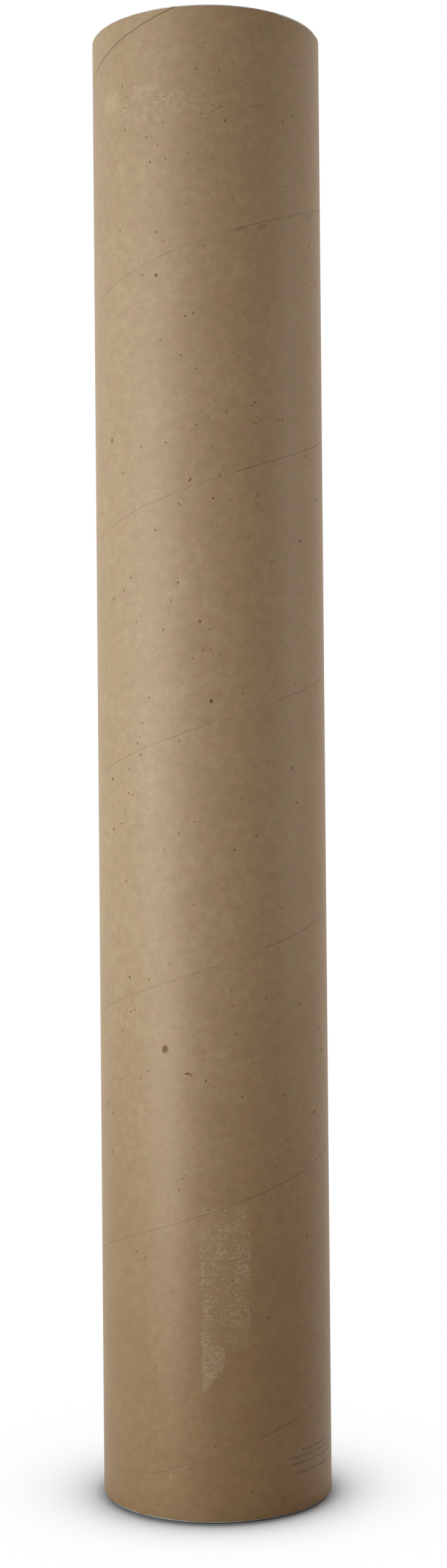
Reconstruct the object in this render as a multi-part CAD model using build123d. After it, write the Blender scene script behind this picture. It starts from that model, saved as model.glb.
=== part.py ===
from build123d import *
import os
from math import asin, pi, radians, tan

# Cardboard mailing tube: a spiral-wound kraft tube, closed by a moulded plug in each end.
# Millimetres, +Z up. It stands on its lower plug, and the origin is the centre of that foot.
# Angles round the tube are counted from the front (-Y), positive towards +X.

# Wound tube: a 4 inch bore, and a 26 inch tube with some length allowed for its plugs
bore_diameter = 101.6
tube_wall = 1.8
tube_length = 668.0

# Outer ply: one strip of kraft paper wound round the tube, its edges almost meeting
ply_width = 102.0
ply_thickness = 0.4
seam_gap = 0.5
seam_start_angle = -97.0  # where the seam leaves the lower rim

# Plug: a soft plastic cup, with a thin lip that sits on the tube's rim
lip_thickness = 1.0
lip_cover_share = 0.67  # how much of the rim the lip covers
lip_chamfer = 0.3
plug_depth = 19.0  # from the lip's seat to the end of the cup
plug_wall = 1.2
plug_floor = 1.4
plug_draft = 1.5  # degrees, drawing in towards the end of the cup
skirt_clearance = 0.8  # between the skirt and the bore, beside the lip
nose_chamfer = 1.0

# Grip ribs round the skirt, which fill most of its clearance in the bore
rib_count = 16
rib_width = 1.6
rib_clearance = 0.3
rib_start = 2.0  # from the lip's seat
rib_lead_in = 4.0

# Stub on the floor of the cup, where the plastic was let into the mould
gate_diameter = 6.0
gate_height = 0.7

# How far a cutting shape runs past the faces that it cuts
overrun = 2.0

bore_radius = bore_diameter / 2
tube_radius = bore_radius + tube_wall
tube_foot = lip_thickness
tube_top = tube_foot + tube_length


def seam_pitch():
    """Rise of one turn of the seam, so that neighbouring turns of the strip lie edge to edge."""
    circumference = 2 * pi * tube_radius
    strip_angle = asin(ply_width / circumference)
    return circumference * tan(strip_angle)


def seam_groove():
    """The gap between the strip's edges: a bar as deep as the ply, wound past both ends of the tube."""
    pitch = seam_pitch()
    path = Helix(pitch, tube_length + 2 * overrun, tube_radius, center=(0, 0, -overrun))
    across_path = Plane(path @ 0, x_dir=(1, 0, 0), z_dir=path % 0)
    bar = sweep(across_path * Rectangle(2 * ply_thickness, seam_gap), path=path, is_frenet=True)
    turn_to_front = -90
    turn_below_rim = 360 * overrun / pitch
    return Rot(Z=turn_to_front + seam_start_angle - turn_below_rim) * bar


def wound_tube():
    """The tube as it is wound and cut square to length, with its lower rim at Z = 0."""
    wall = extrude(Circle(tube_radius) - Circle(bore_radius), tube_length)
    return wall - seam_groove()


def skirt_radius(depth):
    """The skirt's outside radius at this depth in the bore, as its draft draws it in."""
    return bore_radius - skirt_clearance - depth * tan(radians(plug_draft))


def plug_section():
    """Half the plug's section, with the lip's seat at Z = 0 and the cup reaching up into the tube."""
    lip_radius = bore_radius + lip_cover_share * tube_wall
    lip_edge = min(lip_chamfer, lip_thickness / 2)
    nose = min(nose_chamfer, plug_wall, plug_floor)
    floor_face = plug_depth - plug_floor
    outline = Polyline(
        (0, floor_face),
        (skirt_radius(floor_face) - plug_wall, floor_face),
        (skirt_radius(0) - plug_wall, -lip_thickness),
        (lip_radius - lip_edge, -lip_thickness),
        (lip_radius, lip_edge - lip_thickness),
        (lip_radius, 0),
        (skirt_radius(0), 0),
        (skirt_radius(plug_depth - nose), plug_depth - nose),
        (skirt_radius(plug_depth) - nose, plug_depth),
        (0, plug_depth),
        close=True,
    )
    return Plane.XZ * make_face(outline)


def grip_rib():
    """One rib along the skirt, on +X, with a slope at its end that leads the plug into the bore."""
    crest = bore_radius - rib_clearance
    rib_end = plug_depth - nose_chamfer
    side = Polyline(
        (skirt_radius(rib_start) - plug_wall / 2, rib_start),
        (crest, rib_start),
        (crest, rib_end - rib_lead_in),
        (skirt_radius(rib_end), rib_end),
        (skirt_radius(rib_end) - plug_wall / 2, rib_end),
        close=True,
    )
    return extrude(Plane.XZ * make_face(side), rib_width / 2, both=True)


def gate_stub():
    """The moulding's gate, standing in the middle of the cup's floor."""
    return extrude(Plane.XY.offset(plug_depth - plug_floor) * Circle(gate_diameter / 2), -gate_height)


def end_plug():
    """The whole plug, one moulding: cup and lip, grip ribs and gate stub."""
    cup = revolve(plug_section(), Axis.Z)
    ribs = PolarLocations(0, rib_count) * grip_rib()
    return cup + ribs + gate_stub()


plug = end_plug()
nodes = {
    "tube": Pos(Z=tube_foot) * wound_tube(),
    "top_plug": Pos(Z=tube_top) * Rot(X=180) * plug,
    "bottom_plug": Pos(Z=tube_foot) * plug,
}

os.makedirs("parts", exist_ok=True)
for name, solid in nodes.items():
    export_step(solid, f"parts/{name}.step")
    print(name, f"{solid.volume / 1000:.1f} cm3", solid.is_valid)
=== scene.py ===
# %% [markdown]
# # A cardboard mailing tube
#
# This lesson dresses a mailing tube: a wall of kraft paper wound in a spiral, and a white plastic plug
# in each end. The frame holds the sizes and the bodies that move. Here we model the pieces again with
# the edges, gaps and wear of a real tube, and then give them paper and plastic to be made of.

# %% Load the frame
import math
import random
from collections import Counter

import bpy
from mathutils import Matrix, Vector, noise


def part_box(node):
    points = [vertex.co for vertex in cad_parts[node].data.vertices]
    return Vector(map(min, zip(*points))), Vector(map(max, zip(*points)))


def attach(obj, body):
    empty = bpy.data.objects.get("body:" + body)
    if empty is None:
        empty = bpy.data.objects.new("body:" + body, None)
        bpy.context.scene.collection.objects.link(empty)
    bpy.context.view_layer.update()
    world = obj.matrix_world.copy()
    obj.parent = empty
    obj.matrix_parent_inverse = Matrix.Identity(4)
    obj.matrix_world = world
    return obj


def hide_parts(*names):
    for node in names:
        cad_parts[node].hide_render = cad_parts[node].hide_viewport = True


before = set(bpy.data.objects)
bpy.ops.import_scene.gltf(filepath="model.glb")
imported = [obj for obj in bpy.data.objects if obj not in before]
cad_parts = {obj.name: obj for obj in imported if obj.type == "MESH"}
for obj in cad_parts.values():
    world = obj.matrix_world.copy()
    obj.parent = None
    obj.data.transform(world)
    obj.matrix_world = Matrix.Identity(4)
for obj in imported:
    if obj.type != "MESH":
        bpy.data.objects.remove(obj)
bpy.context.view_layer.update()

MM = 0.001


def from_axis(point):
    """How far a point lies from the tube's axis."""
    return math.hypot(point.x, point.y)


def radii(node):
    """The smallest and largest distance of a node's points from the axis."""
    distances = [from_axis(vertex.co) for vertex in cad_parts[node].data.vertices]
    return min(distances), max(distances)


bore_radius, outer_radius = radii("tube")
foot, head = (corner.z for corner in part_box("tube"))
print(f"tube: bore {2 * bore_radius:.4f} m, outside {2 * outer_radius:.4f} m, {foot:.4f} to {head:.4f} m up")

# %% [markdown]
# ## The camera
#
# The photograph was taken from about a metre away, with the lens near half the tube's height and held
# almost level, so we see neither into the top nor under the foot. A camera can be placed by eye in the
# viewport, but here its place comes from the outline: the bend of the two rims gives the distance and
# the height. It leans by half a degree, because the picture does.

# %% Place the camera
PHOTO_WIDTH, PHOTO_HEIGHT = 734, 2576
SENSOR_HEIGHT, LENS = 36.0, 49.2
camera_place = Vector((0.0, -0.996, 0.316))
camera_aim = Vector((0.0054, 0.0, 0.3254))
camera_lean = math.radians(-0.51)

bpy.ops.object.select_all(action="DESELECT")
bpy.ops.object.camera_add(location=camera_place)
camera = bpy.context.object
look = (camera_aim - camera_place).to_track_quat("-Z", "Y").to_matrix()
camera.rotation_euler = (look @ Matrix.Rotation(camera_lean, 3, "Z")).to_euler()
camera.data.sensor_fit = "VERTICAL"
camera.data.sensor_height = SENSOR_HEIGHT
camera.data.lens = LENS
bpy.context.scene.camera = camera
bpy.context.view_layer.update()
print(f"camera {camera_place.length:.2f} m away, lens {LENS} mm on a {SENSOR_HEIGHT} mm sensor")

# %% [markdown]
# ## From the photograph to the tube
#
# Many marks on this tube belong where the photograph shows them. Moving each by eye until it fits would
# be slow, so a helper does it: it follows the line of sight through a pixel until that line meets the
# tube, and gives back the angle round the tube, counted from the front, and the height.


# %% Find a place on the tube
def angle_of(point):
    """A point's angle round the tube, counted from the front and positive to the right."""
    return math.atan2(point.x, -point.y)


def on_tube(px, py):
    """Where the line of sight through a photo pixel meets the tube: (angle, height)."""
    focal = LENS / SENSOR_HEIGHT * PHOTO_HEIGHT
    sight = Vector(((px - PHOTO_WIDTH / 2) / focal, (PHOTO_HEIGHT / 2 - py) / focal, -1.0))
    ray = camera.matrix_world.to_3x3() @ sight
    start = camera.matrix_world.translation
    a = ray.x**2 + ray.y**2
    b = start.x * ray.x + start.y * ray.y
    c = start.x**2 + start.y**2 - outer_radius**2
    reach = (-b - math.sqrt(max(b * b - a * c, 0.0))) / a
    point = start + reach * ray
    return angle_of(point), point.z


def point_on_tube(px, py):
    angle, level = on_tube(px, py)
    return Vector((outer_radius * math.sin(angle), -outer_radius * math.cos(angle), level))


middle_angle, middle_height = on_tube(PHOTO_WIDTH / 2, PHOTO_HEIGHT / 2)
print(f"the photo's middle is {math.degrees(middle_angle):.1f} degrees round and {middle_height:.3f} m up")

# %% [markdown]
# ## The wound wall
#
# A paper tube is wound from strips laid round a rod, each a little wider than a hand, and glued into
# one wall. Only the outermost strip shows, and the gap between its edges is the spiral line on the
# tube. We could cut that line into a cylinder, but it is truer and easier to wind it: draw the section
# of one turn, from the middle of one gap to the middle of the next, and let the Screw modifier carry
# it round. The ends are then sawn off flat with Bisect, as the real tube was.

# %% Sizes of the outer strip
ply_width = 102 * MM
seam_start = math.radians(-97)  # where the seam leaves the foot
seam_gap, seam_depth = 0.06 * MM, 0.1 * MM
edge_round, shoulder = 0.03 * MM, 0.9 * MM
skin_radius = outer_radius - 0.03 * MM  # leaves room for what is pressed into the skin

circumference = 2 * math.pi * outer_radius
strip_angle = math.asin(ply_width / circumference)
seam_rise = circumference * math.tan(strip_angle)
print(f"the seam rises {seam_rise:.5f} m a turn, so it makes {(head - foot) / seam_rise:.2f} turns")


# %% Draw the section of one turn
def draw_line(name, points):
    """A line of edges through the points: one vertex, extruded from point to point."""
    bpy.ops.object.select_all(action="DESELECT")
    bpy.ops.mesh.primitive_plane_add(size=MM)
    bpy.context.object.name = name
    bpy.ops.object.mode_set(mode="EDIT")
    bpy.ops.mesh.select_mode(type="VERT")
    bpy.ops.mesh.merge(type="CENTER")
    bpy.ops.transform.translate(value=points[0])
    for start, end in zip(points, points[1:]):
        bpy.ops.mesh.extrude_vertices_move(TRANSFORM_OT_translate={"value": end - start})
    bpy.ops.object.mode_set(mode="OBJECT")
    return bpy.context.object


def strip_section(base, face_rows=10):
    """Half the gap's floor, the strip's lower edge, its face, its upper edge and half the next floor."""
    low, high = base + seam_gap / 2, base + seam_rise - seam_gap / 2
    inner_low, inner_high = low + shoulder, high - shoulder
    face = [inner_low + (inner_high - inner_low) * i / face_rows for i in range(face_rows + 1)]
    radii_and_heights = [
        (skin_radius - seam_depth, base),
        (skin_radius - seam_depth, low),
        (skin_radius - edge_round, low),
        (skin_radius, low + edge_round),
        *((skin_radius, z) for z in face),
        (skin_radius, high - edge_round),
        (skin_radius - edge_round, high),
        (skin_radius - seam_depth, high),
        (skin_radius - seam_depth, base + seam_rise),
    ]
    return [Vector((radius, 0, z)) for radius, z in radii_and_heights]


turns_below = 2
tube = draw_line("wound_tube", strip_section(foot - turns_below * seam_rise))
print("section of one turn:", len(tube.data.vertices), "points")


# %% Wind it
def apply_modifier(piece, kind, name, **settings):
    modifier = piece.modifiers.new(name, kind)
    for key, value in settings.items():
        setattr(modifier, key, value)
    bpy.context.view_layer.objects.active = piece
    bpy.ops.object.modifier_apply(modifier=name)


def merge_and_face_out(reach):
    """Merge the points of the mesh in edit mode that lie this near, and turn its faces outwards."""
    bpy.ops.mesh.select_all(action="SELECT")
    bpy.ops.mesh.remove_doubles(threshold=reach)
    bpy.ops.mesh.normals_make_consistent(inside=False)


steps_per_turn = 360
same_point = 0.01 * MM
turns = math.ceil((head - foot) / seam_rise) + turns_below + 1
apply_modifier(
    tube, "SCREW", "wind", axis="Z", angle=math.tau, screw_offset=seam_rise, iterations=turns,
    steps=steps_per_turn, render_steps=steps_per_turn, use_merge_vertices=False,
)
tube.rotation_euler.z = seam_start - math.pi / 2
bpy.ops.object.transform_apply(location=False, rotation=True, scale=False)
bpy.ops.object.mode_set(mode="EDIT")
merge_and_face_out(same_point)
print("wound through", turns, "turns")

# %% Saw the ends, and add rows of points near them for wear
worn_depth = 1.5 * MM
saw_fineness = 1e-7  # a coarser threshold would leave near points off the cut


def saw(level, **cleared_side):
    """Cut the mesh flat at a height, and clear one side of the cut if that is asked for."""
    bpy.ops.mesh.select_all(action="SELECT")
    bpy.ops.mesh.bisect(plane_co=(0, 0, level), plane_no=(0, 0, 1), threshold=saw_fineness, **cleared_side)


saw(head, clear_outer=True)
saw(foot, clear_inner=True)
for row in (head - worn_depth, head - worn_depth / 3, foot + worn_depth / 3, foot + worn_depth):
    saw(row)
bpy.ops.object.mode_set(mode="OBJECT")
print("wound skin:", len(tube.data.polygons), "faces")

# %% [markdown]
# ## The bore and the rims
#
# So far the wall is a skin. The inside of the wall is a plain cylinder, turned to face inwards, and
# Bridge Edge Loops closes the wall at each end with a ring of faces: the sawn rim, where the plies
# show edge on. A Solidify modifier would thicken the skin too, but it would also copy the seam inside.


# %% Add the bore
def choose(piece, kind, test):
    """Go into edit mode with only those vertices, edges or polygons selected that pass the test."""
    bpy.ops.object.mode_set(mode="OBJECT")
    mesh = piece.data
    for group in (mesh.vertices, mesh.edges, mesh.polygons):
        group.foreach_set("select", [False] * len(group))
    chosen = [item for item in getattr(mesh, kind) if test(item)]
    for item in chosen:
        item.select = True
    count = len(chosen)
    bpy.ops.object.mode_set(mode="EDIT")
    bpy.ops.mesh.select_mode(type={"vertices": "VERT", "edges": "EDGE", "polygons": "FACE"}[kind])
    return count


bpy.ops.object.mode_set(mode="EDIT")
bpy.ops.mesh.select_all(action="DESELECT")
bpy.ops.mesh.primitive_cylinder_add(
    vertices=steps_per_turn, radius=bore_radius, depth=head - foot,
    end_fill_type="NOTHING", location=(0, 0, (foot + head) / 2),
)
bpy.ops.mesh.flip_normals()
bpy.ops.object.mode_set(mode="OBJECT")
print("with its bore:", len(tube.data.polygons), "faces")


# %% Bridge the rims
def lies_at(level):
    """A test for the tube's edges that lie at one height."""
    points = tube.data.vertices
    return lambda edge: all(abs(points[i].co.z - level) < 0.001 * MM for i in edge.vertices)


for level in (foot, head):
    count = choose(tube, "edges", lies_at(level))
    bpy.ops.mesh.bridge_edge_loops()
    bpy.ops.object.mode_set(mode="OBJECT")
    print(f"rim at {level:.3f} m: {count} edges bridged")

# %% [markdown]
# ## A seam that isn't perfect
#
# On the real tube the gap is never quite even: the strip wandered as it was wound, so the line opens and
# narrows, lies all but shut for some stretches, and its edges are pressed in more here than there. We
# choose the points along an edge by their place, put them in a vertex group, and let a Displace modifier
# push them. The first moves the strip's lower edge up and down with a cloud texture, the second presses
# both edges in, and the others shut the gap where the photograph hardly shows a line and open it where
# the line is darkest. Where it lies shut, the rounded corners are then laid flush with the skin.


# %% Where the gap lies shut, and where it is open
def lap_at(angle, level):
    """The turn of the seam that a place is nearest to, counted up from the foot."""
    return round((level - foot) / seam_rise - (angle - seam_start) / math.tau)


def runs_of(stretches):
    """Stretches of the seam, given by their left, right and middle height in photo pixels."""
    return [
        (lap_at(*on_tube((left + right) / 2, level)), on_tube(left, level)[0], on_tube(right, level)[0])
        for left, right, level in stretches
    ]


def lies_on(runs, point):
    angle = angle_of(point)
    lap = lap_at(angle, point.z)
    return any(lap == run_lap and start < angle < end for run_lap, start, end in runs)


shut_runs = runs_of([
    (288, 384, 399), (285, 338, 806), (345, 458, 1171), (291, 313, 1600), (334, 346, 1588),
    (364, 434, 1568), (150, 254, 2430), (304, 422, 2385),
])
open_runs = runs_of([
    (390, 515, 370), (385, 525, 766), (468, 530, 1142), (438, 532, 1540), (400, 535, 1945), (425, 540, 2335),
])
wide_runs = runs_of([(212, 290, 33)])
widest_runs = runs_of([(140, 212, 80)])
print("shut on turns", [lap for lap, _, _ in shut_runs], "and open on", [lap for lap, _, _ in open_runs])

# %% Choose the strip's edges
edge_reach = seam_gap / 2 + 2 * edge_round
rim_clearance = 0.05 * MM


def above_seam(point):
    """How far a point lies above the turn of the seam just below it."""
    turned = angle_of(point) - seam_start
    return (point.z - foot - seam_rise * turned / math.tau) % seam_rise


def clear_of_rims(point):
    on_outside = from_axis(point) > bore_radius + 1 * MM
    return on_outside and foot + rim_clearance < point.z < head - rim_clearance


def on_lower_edge(point):
    return clear_of_rims(point) and 0.4 * seam_gap < above_seam(point) < edge_reach


def on_either_edge(point):
    return clear_of_rims(point) and min(above_seam(point), seam_rise - above_seam(point)) < edge_reach


def at_face(point):
    return from_axis(point) > skin_radius - 2 * edge_round


def add_group(piece, name, test):
    """A vertex group of the points that pass the test."""
    group = piece.vertex_groups.new(name=name)
    members = [vertex.index for vertex in piece.data.vertices if test(vertex.co)]
    group.add(members, 1.0, "REPLACE")
    print(name, "has", len(members), "points")


add_group(tube, "either edge", lambda p: on_either_edge(p) and at_face(p) and not lies_on(shut_runs, p))
add_group(tube, "lower edge", lambda p: on_lower_edge(p) and not lies_on(shut_runs, p))
for stretch, runs in (("shut", shut_runs), ("open", open_runs), ("wide", wide_runs), ("widest", widest_runs)):
    add_group(tube, stretch, lambda p: on_lower_edge(p) and lies_on(runs, p))


# %% Let the gap wander, shut and open
def clouds(name, size, depth=1):
    texture = bpy.data.textures.new(name, "CLOUDS")
    texture.noise_scale = size
    texture.noise_depth = depth
    return texture


def push(piece, group, **settings):
    apply_modifier(piece, "DISPLACE", "push", vertex_group=group, texture_coords="LOCAL", **settings)


wander, press = clouds("wander", 6 * MM, 2), clouds("press", 30 * MM)
push(tube, "lower edge", direction="Z", texture=wander, mid_level=0.5, strength=0.11 * MM)
push(tube, "either edge", direction="NORMAL", texture=press, mid_level=1.0, strength=0.05 * MM)
shut_gap = 0.035 * MM
openings = {"shut": shut_gap - seam_gap, "open": 0.1 * MM, "wide": 0.3 * MM, "widest": 0.45 * MM}
for stretch, opening in openings.items():
    push(tube, stretch, direction="Z", mid_level=0.0, strength=opening)


def rounded_where_shut(vertex):
    off_corner = abs(from_axis(vertex.co) - skin_radius + edge_round)
    return lies_on(shut_runs, vertex.co) and on_either_edge(vertex.co) and off_corner < same_point


count = choose(tube, "vertices", rounded_where_shut)
flush = skin_radius / (skin_radius - edge_round)
bpy.ops.transform.resize(value=(flush, flush, 1), center_override=(0, 0, 0))
bpy.ops.object.mode_set(mode="OBJECT")
print("corners laid flush where the gap is shut:", count, "points")

# %% [markdown]
# ## Worn rims
#
# Where the tube has been knocked and pushed over shelves, its paper rims are rubbed. The upper rim has
# lost half a millimetre over a twelfth of its round, with a small step where the wear begins, and both
# rims are a little ragged. A Move in edit mode makes the worn stretch; a fine cloud frays the edges.

# %% Wear the rims
wear_from, wear_to = on_tube(456, 20)[0], on_tube(519, 30)[0]
wear = 0.45 * MM


def in_worn_stretch(vertex):
    at_edge = vertex.co.z > head - 0.01 * MM and from_axis(vertex.co) > skin_radius - seam_depth / 2
    return at_edge and wear_from < angle_of(vertex.co) < wear_to


count = choose(tube, "vertices", in_worn_stretch)
bpy.ops.transform.translate(value=(0, 0, -wear))
bpy.ops.object.mode_set(mode="OBJECT")
print("worn stretch of the upper rim:", count, "points moved")


# %% Fray them, and smooth the tube
def on_skin_face(point):
    return from_axis(point) > skin_radius - 0.02 * MM


def take_up(piece):
    """Select one piece alone, for the operators that follow."""
    bpy.ops.object.select_all(action="DESELECT")
    piece.select_set(True)
    bpy.context.view_layer.objects.active = piece


def smooth(piece):
    """Shade a piece smooth, but for its sharp edges."""
    take_up(piece)
    bpy.ops.object.shade_smooth_by_angle(angle=math.radians(35))


add_group(tube, "upper edge", lambda p: on_skin_face(p) and p.z > head - 0.6 * MM)
add_group(tube, "foot edge", lambda p: on_skin_face(p) and p.z < foot + 0.01 * MM)
for rim_edge, amount in (("upper edge", -0.3 * MM), ("foot edge", 0.35 * MM)):
    push(tube, rim_edge, direction="Z", texture=clouds("fray", 2.5 * MM, 2), mid_level=0.35, strength=amount)
tube.vertex_groups.clear()
smooth(tube)
print("tube:", len(tube.data.polygons), "faces")

# %% [markdown]
# ## Specks in the pulp
#
# Unbleached pulp is full of foreign bits: flakes of bark, knots with a dark core and stray pale fibres,
# pressed flush with the paper. A noise could paint them, but then none would lie where this tube has it.
# So we model one flake, a thin uneven disc, and press copies of it into the skin: those that the
# photograph shows, by their pixel, and a scatter of others over the rest of the tube.

# %% Model one flake
flake_top, flake_bottom = 0.008 * MM, -0.05 * MM
bpy.ops.object.select_all(action="DESELECT")
bpy.ops.mesh.primitive_circle_add(vertices=9, radius=1.0, fill_type="NGON")
flake = bpy.context.object
flake.name = "pulp_flecks"
bpy.ops.object.mode_set(mode="EDIT")
bpy.ops.mesh.select_all(action="SELECT")
bpy.ops.transform.vertex_random(offset=0.25, seed=4)
bpy.ops.transform.resize(value=(1, 1, 0), center_override=(0, 0, 0))
bpy.ops.transform.translate(value=(0, 0, flake_top))
bpy.ops.mesh.extrude_region_move(TRANSFORM_OT_translate={"value": (0, 0, flake_bottom - flake_top)})
bpy.ops.mesh.select_all(action="SELECT")
bpy.ops.mesh.normals_make_consistent(inside=False)
bpy.ops.object.mode_set(mode="OBJECT")
print("one flake:", len(flake.data.polygons), "faces")

# %% Press it into the skin
chance = random.Random(7)
tone_lift = 0.005 * MM
pressed = []


def on_skin(angle, level):
    """The frame of a spot on the skin: x round the tube, y up it and z out of it."""
    outwards = Vector((math.sin(angle), -math.cos(angle), 0))
    around = Vector((math.cos(angle), math.sin(angle), 0))
    spot = Matrix((around, (0, 0, 1), outwards)).transposed().to_4x4()
    spot.translation = outwards * skin_radius + Vector((0, 0, level))
    return spot


def press_in(angle, level, half_wide, half_tall, tilt, tone):
    """A copy of the flake, with its own mesh and its own tone: 0 is dark, 1 faint and 2 pale.
    A darker flake lies a hair higher, so that a dark core shows on the fainter flake round it."""
    copy = flake.copy()
    copy.data = flake.data.copy()
    bpy.context.collection.objects.link(copy)
    own_turn = Matrix.Rotation(chance.uniform(0, math.tau), 4, "Z")
    tilted = Matrix.Rotation(math.radians(tilt), 4, "Z")
    shape = tilted @ Matrix.Diagonal((half_wide, half_tall, 1, 1)) @ own_turn
    lift = Matrix.Translation((0, 0, tone_lift * (2 - tone)))
    copy.data.transform(on_skin(angle, level) @ lift @ shape)
    tones = copy.data.attributes.new("tone", "FLOAT", "POINT")
    tones.data.foreach_set("value", [tone] * len(copy.data.vertices))
    pressed.append(copy)


def pixel_reach(px, py):
    """How far one photo pixel reaches round the tube and up it, at this place."""
    left, right, above, below = (on_tube(px + i, py + j) for i, j in ((-1, 0), (1, 0), (0, -1), (0, 1)))
    return (right[0] - left[0]) * outer_radius / 2, (above[1] - below[1]) / 2


def press_at(px, py, half_wide, half_tall, tilt=0, tone=0.0):
    """Press in a flake where the photograph shows it, its half sizes in pixels."""
    wide, tall = pixel_reach(px, py)
    press_in(*on_tube(px, py), half_wide * wide, half_tall * tall, tilt, tone)


# %% Flakes of bark that the photograph shows, by their pixel
strong = [
    (215, 949), (292, 957), (233, 1188), (479, 1262), (487, 1319), (385, 1396), (493, 889), (369, 198),
    (246, 266), (225, 2056), (342, 1988), (424, 2002), (504, 2031), (441, 2165), (254, 2351), (354, 2376),
    (452, 2352), (413, 2452), (467, 2462), (297, 583), (322, 698), (272, 727), (350, 819), (294, 828),
    (418, 661), (457, 691), (464, 689), (213, 1606), (215, 1662), (381, 1652), (465, 1799), (398, 1803),
    (338, 1776), (516, 1827),
]
medium = [
    (187, 984), (224, 1022), (343, 1034), (281, 986), (362, 1077), (316, 1081), (381, 1137), (399, 1140),
    (244, 1146), (214, 1239), (212, 1263), (439, 1253), (212, 1303), (218, 1306), (206, 1336), (398, 1312),
    (421, 1374), (408, 883), (447, 924), (321, 113), (308, 252), (272, 261), (197, 378), (256, 381),
    (335, 404), (470, 307), (205, 214), (294, 1955), (239, 2066), (283, 2122), (425, 2163), (442, 2217),
    (408, 2234), (287, 2288), (402, 2318), (221, 2382), (346, 2395), (368, 2408), (497, 2349), (485, 2460),
    (322, 606), (342, 665), (414, 666), (232, 734), (361, 780), (423, 812), (202, 778), (255, 871),
    (263, 559), (304, 519), (278, 1583), (221, 1659), (243, 1760), (201, 1772), (437, 1640), (492, 1650),
    (388, 1699), (453, 1766), (453, 1917), (303, 1931), (300, 1936), (472, 1873), (207, 1447), (318, 1486),
    (337, 1728),
]
faint = [
    (204, 970), (268, 1034), (346, 1067), (333, 1068), (226, 1221), (231, 1240), (294, 1217), (319, 1350),
    (294, 1369), (350, 260), (360, 116), (259, 239), (268, 395), (464, 200), (480, 191), (304, 334),
    (382, 324), (327, 279), (279, 1984), (292, 2070), (491, 1969), (241, 2111), (277, 2177), (285, 2194),
    (422, 2239), (468, 2242), (359, 2313), (476, 2311), (342, 683), (372, 677), (428, 691), (420, 695),
    (349, 733), (377, 821), (421, 828), (317, 514), (402, 513), (439, 503), (362, 582), (382, 579),
    (234, 452), (231, 1772), (334, 1743), (416, 1745), (380, 1627), (244, 1609), (202, 1693), (372, 1860),
    (463, 1882), (200, 1353),
]
for places, tone, half in ((strong, 0.3, 1.9), (medium, 0.55, 1.7), (faint, 0.82, 1.9)):
    for px, py in places:
        wide, tall = half * chance.uniform(0.75, 1.25), half * chance.uniform(0.75, 1.25)
        press_at(px, py, wide, tall, chance.uniform(-60, 60), tone + chance.uniform(-0.15, 0.15))
print(len(pressed), "flakes placed by the photograph")

# %% Knots and slivers: pixel across and down, half width and height in pixels, tilt in degrees
knots = [
    (270, 1723, 3.6, 4.4, -15), (347, 1152, 2.9, 3.1, 0), (307, 1764, 4.0, 1.8, 12),
    (256, 452, 2.6, 2.4, 30), (312, 788, 1.6, 3.6, -40),
]
slivers = [
    (271, 1724, 5.6, 7.4, -20), (313, 1766, 3.2, 2.4, -15), (484, 1125, 0.8, 2.8, 0),
    (328, 1021, 2.8, 3.0, 0), (342, 316, 2.6, 0.7, 45), (255, 2248, 0.8, 4.0, -10),
    (305, 2292, 3.0, 0.8, 15), (240, 225, 3.0, 1.0, 0), (462, 1493, 2.4, 1.0, -30),
    (270, 1397, 0.6, 5.0, 8), (284, 1687, 4.0, 0.6, -10), (528, 1724, 1.0, 4.0, 0), (517, 469, 0.9, 3.2, 0),
    (500, 466, 3.0, 0.7, 0), (201, 141, 1.0, 2.6, 0), (184, 724, 1.6, 5.0, 0), (185, 1280, 2.0, 2.8, 0),
    (187, 1362, 1.8, 2.2, 0), (501, 750, 1.2, 3.0, 0), (331, 186, 2.0, 0.8, 5), (340, 187, 5.5, 0.6, 6),
    (351, 182, 5.0, 0.6, 22), (358, 178, 3.0, 0.8, 25), (363, 175, 2.8, 1.8, 0), (312, 190, 2.6, 0.6, 4),
    (322, 188, 1.2, 0.8, 0), (258, 158, 4.0, 0.7, 0), (270, 159, 4.0, 0.6, -8), (184, 2464, 0.8, 2.2, -15),
    (228, 2484, 4.0, 0.7, -14), (240, 2485, 4.0, 0.8, -10), (252, 2488, 4.5, 0.8, -8),
    (261, 2489, 1.6, 1.2, 0), (517, 2465, 0.8, 2.4, 0), (405, 2495, 1.6, 0.9, 0), (424, 2493, 5.0, 0.8, 4),
    (202, 162, 3.0, 0.7, 12), (209, 160, 2.5, 0.7, 10), (206, 177, 3.5, 0.8, -20), (268, 201, 2.0, 1.0, 0),
    (254, 202, 2.0, 0.8, 0),
]
for mark in knots:
    press_at(*mark, tone=0.0)
for mark in slivers:
    press_at(*mark, tone=chance.uniform(0.45, 0.75))
print(len(knots), "knots and", len(slivers), "slivers")

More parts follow.
